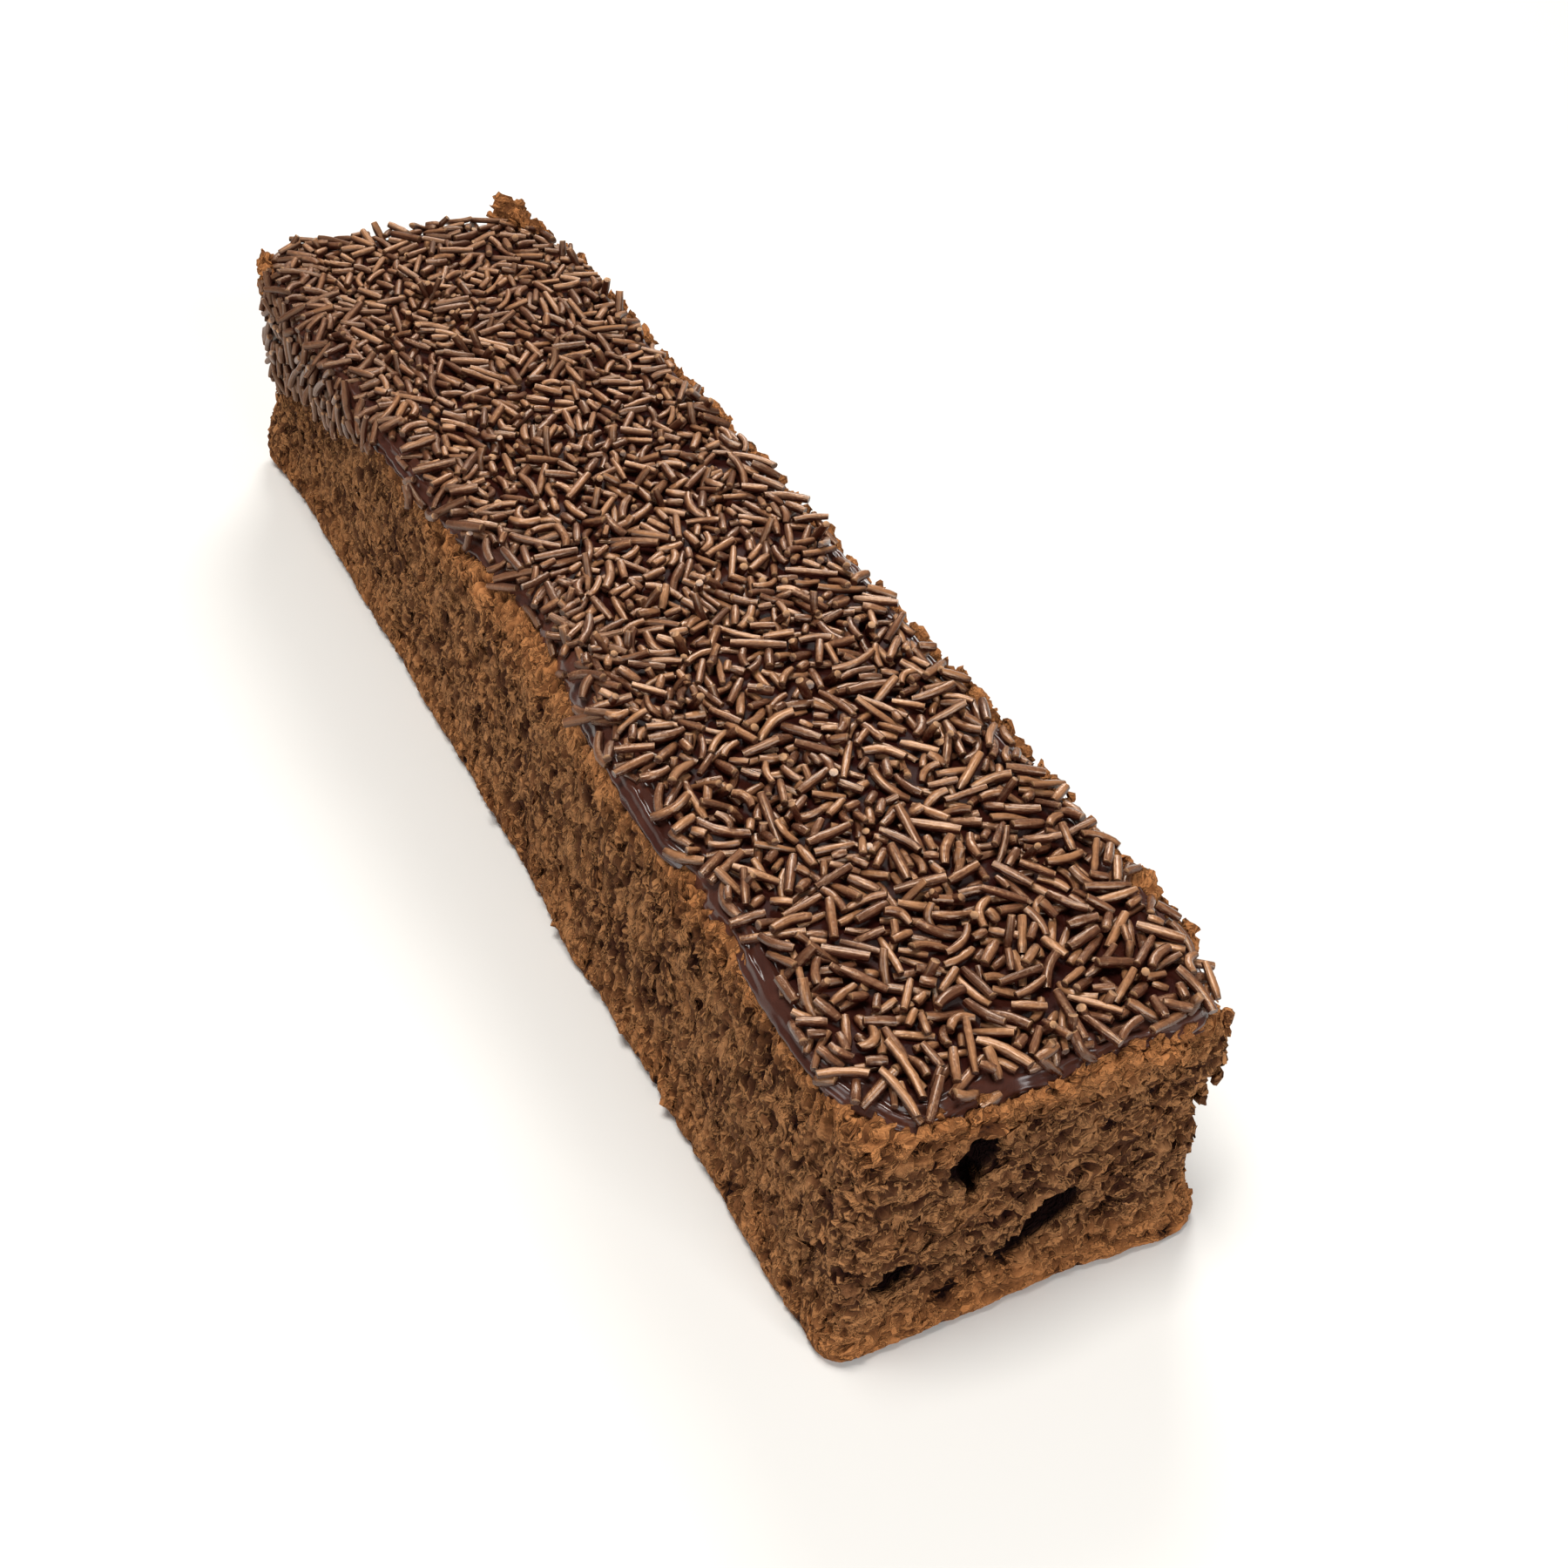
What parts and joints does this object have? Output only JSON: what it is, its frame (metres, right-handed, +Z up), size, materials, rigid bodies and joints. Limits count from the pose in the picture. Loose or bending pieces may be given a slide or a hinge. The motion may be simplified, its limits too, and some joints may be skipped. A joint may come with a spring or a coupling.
{
  "type": "brigadeiro cake bar",
  "caption": "Bar cut from a chocolate sponge cake, with a poured dark chocolate icing over its top and edges and a thick cover of chocolate sprinkles.",
  "frame": {"origin": "middle of the flat base, on the surface that the cake stands on", "axes": "+Z up, +Y along the bar from the cut end with the open holes to the far end, +X to the right when seen from the cut end"},
  "size_m": [0.0674, 0.2608, 0.0526],
  "materials": {
    "sponge": "dry open chocolate crumb, torn and cut",
    "icing": "glossy dark brigadeiro, poured and set soft",
    "sprinkles": "milk chocolate stubs with a satin polish"
  },
  "bodies": {
    "root": {"sponge": "sponge", "brigadeiro_icing": "icing"}
  },
  "joints": []
}
